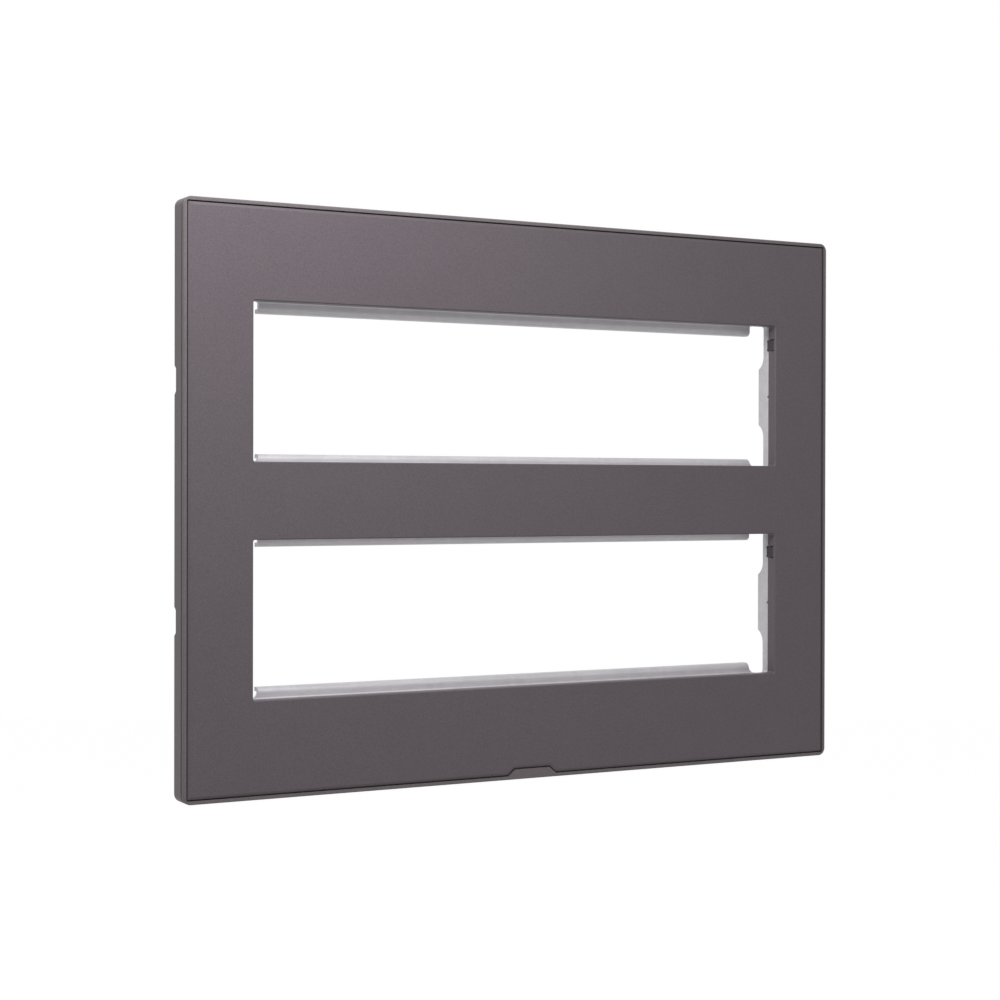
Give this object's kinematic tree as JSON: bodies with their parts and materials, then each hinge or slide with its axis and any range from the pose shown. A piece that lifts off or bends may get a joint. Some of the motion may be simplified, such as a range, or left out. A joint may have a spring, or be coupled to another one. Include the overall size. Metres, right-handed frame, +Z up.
{
  "type": "module switch plate",
  "caption": "Rectangular wall plate with long module windows, an inlaid front panel in a thin rim and a pressed metal support frame with clip rails behind.",
  "frame": {"origin": "centre of the wall plane, which is the plane of the rear edge of the side walls and of the screw seats", "axes": "+X to the right along the module rows, +Y back into the wall, +Z up; the front faces -Y"},
  "size_m": [0.2218, 0.0108, 0.1682],
  "materials": {
    "bezel_paint": "moulded plastic with satin dark grey paint",
    "panel_paint": "moulded plastic with satin metallic dark grey paint",
    "zinc_sheet": "zinc-plated pressed sheet steel"
  },
  "bodies": {
    "root": {"bezel_frame": "bezel_paint", "front_panel": "panel_paint", "support_frame": "zinc_sheet"}
  },
  "joints": []
}
